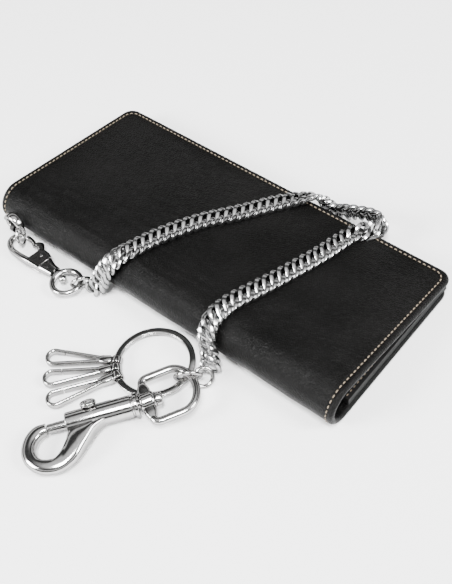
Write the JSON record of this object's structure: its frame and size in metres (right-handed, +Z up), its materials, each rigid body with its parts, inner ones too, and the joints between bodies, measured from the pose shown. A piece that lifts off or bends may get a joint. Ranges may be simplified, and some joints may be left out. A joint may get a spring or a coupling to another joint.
{
  "type": "chain wallet",
  "caption": "Long bifold leather wallet, closed, with a double curb chain wrapped over it, a trigger clasp, a bolt snap and a key ring",
  "frame": {"origin": "centre of the wallet's underside", "axes": "+X along the spine, +Y from the spine to the free edge, +Z up"},
  "size_m": [0.19, 0.1837, 0.0251],
  "materials": {
    "leather": "black, fine wrinkled grain, satin",
    "lining": "black smooth lining leather",
    "tape": "black woven zip tape",
    "zip_metal": "plated steel",
    "nickel": "polished nickel plate"
  },
  "bodies": {
    "lower_half": {"lower_cover": "leather", "spine": "leather", "lower_panel": "lining", "coin_pocket": "lining", "zip_tape_near": "tape", "zip_tape_far": "tape", "d_ring_keeper": "leather", "chain_left_drop": "nickel", "chain_right_drop": "nickel"},
    "upper_half": {"upper_cover": "leather", "upper_panel": "lining", "card_strip_1": "lining", "card_strip_2": "lining", "card_strip_3": "lining", "chain_top_run": "nickel"},
    "slider": {"zip_slider": "zip_metal"},
    "pull": {"zip_pull": "zip_metal"},
    "spine_ring": {"d_ring": "nickel"},
    "link": {"link_ring": "nickel"},
    "clasp": {"clasp_body": "nickel", "clasp_pin": "nickel", "clasp_post": "nickel"},
    "trigger": {"clasp_lever": "nickel"},
    "clasp_swivel": {"clasp_swivel_ring": "nickel"},
    "chain_start": {"chain_ring": "nickel"},
    "chain_end": {"end_ring": "nickel"},
    "jump": {"jump_ring": "nickel"},
    "eye": {"swivel_eye": "nickel"},
    "snap": {"snap_body": "nickel", "snap_rivet": "nickel", "snap_spring": "zip_metal"},
    "bolt": {"snap_bolt": "nickel", "snap_knob": "nickel"},
    "keys": {"key_ring": "nickel"},
    "hook_1": {"key_hook_1": "nickel", "key_hook_collar_1": "nickel"},
    "hook_2": {"key_hook_2": "nickel", "key_hook_collar_2": "nickel"},
    "hook_3": {"key_hook_3": "nickel", "key_hook_collar_3": "nickel"}
  },
  "joints": [
    {"name": "wallet_fold", "type": "hinge", "parent": "lower_half", "child": "upper_half", "pos_m": [0, -0.04207, 0.01707], "axis": [1, 0, 0], "range_deg": [0, 150], "deforming": ["chain_left_drop", "chain_top_run", "chain_right_drop"]},
    {"name": "zip_slide", "type": "slide", "parent": "lower_half", "child": "slider", "axis": [-1, 0, 0], "range_m": [0, 0.145]},
    {"name": "zip_pull_lift", "type": "hinge", "parent": "slider", "child": "pull", "pos_m": [0.072, -0.017, 0.0087], "axis": [0, 1, 0], "range_deg": [0, 25]},
    {"name": "spine_ring_swing", "type": "hinge", "parent": "lower_half", "child": "spine_ring", "pos_m": [-0.083, -0.0475, 0.0065], "axis": [1, 0, 0], "range_deg": [0, 10]},
    {"name": "link_ring_turn", "type": "hinge", "parent": "lower_half", "child": "link", "pos_m": [-0.07931, -0.04859, 0.00524], "axis": [0.7868, 0.6009, 0.141], "continuous": true},
    {"name": "clasp_swing", "type": "hinge", "parent": "lower_half", "child": "clasp", "pos_m": [-0.07499, -0.05201, 0.00345], "axis": [0, 0, 1], "range_deg": [-3, 1], "deforming": ["chain_left_drop"]},
    {"name": "trigger_press", "type": "hinge", "parent": "clasp", "child": "trigger", "pos_m": [-0.0616, -0.05165, 0.00357], "axis": [0, 0, 1], "range_deg": [0, 6], "stiffness_Nm_per_rad": 0.002, "springref_deg": -11.46},
    {"name": "clasp_swivel_turn", "type": "hinge", "parent": "clasp", "child": "clasp_swivel", "pos_m": [-0.04831, -0.05448, 0.00369], "axis": [-0.9957, 0.0924, -0.0087], "range_deg": [-15, 15]},
    {"name": "chain_ring_turn", "type": "hinge", "parent": "clasp_swivel", "child": "chain_start", "pos_m": [-0.036, -0.0517, 0.005], "axis": [-0.7932, 0.5271, 0.3051], "continuous": true},
    {"name": "end_ring_turn", "type": "hinge", "parent": "lower_half", "child": "chain_end", "pos_m": [0.03979, -0.05641, 0.00391], "axis": [-0.6911, 0.29, -0.6621], "continuous": true},
    {"name": "jump_ring_turn", "type": "hinge", "parent": "lower_half", "child": "jump", "pos_m": [0.03538, -0.06083, 0.00592], "axis": [-0.642, 0.703, 0.306], "continuous": true},
    {"name": "snap_swing", "type": "hinge", "parent": "lower_half", "child": "eye", "pos_m": [0.0365, -0.06, 0.006], "axis": [0, 0, 1], "range_deg": [0, 10]},
    {"name": "snap_swivel", "type": "hinge", "parent": "eye", "child": "snap", "pos_m": [0.0303, -0.0797, 0.006], "axis": [-0.5901, -0.8063, -0.041], "range_deg": [-20, 150]},
    {"name": "snap_bolt_slide", "type": "slide", "parent": "snap", "child": "bolt", "axis": [0.5901, 0.8063, 0.041], "range_m": [0, 0.008], "stiffness_N_per_m": 150, "springref_m": -0.004, "deforming": ["snap_spring"]},
    {"name": "key_ring_swing", "type": "hinge", "parent": "lower_half", "child": "keys", "pos_m": [0.0346, -0.0607, 0.0031], "axis": [0, 0, 1], "range_deg": [-3, 2]},
    {"name": "key_hook_1_lift", "type": "hinge", "parent": "keys", "child": "hook_1", "pos_m": [0.00471, -0.07166, 0.0025], "axis": [-0.5445, 0.8387, -0.0065], "range_deg": [0, 40]},
    {"name": "key_hook_2_lift", "type": "hinge", "parent": "keys", "child": "hook_2", "pos_m": [0.00723, -0.07467, 0.00254], "axis": [-0.7311, 0.6821, -0.0154], "range_deg": [0, 40]},
    {"name": "key_hook_3_lift", "type": "hinge", "parent": "keys", "child": "hook_3", "pos_m": [0.0104, -0.07698, 0.00262], "axis": [-0.8742, 0.485, -0.0233], "range_deg": [0, 40]}
  ]
}
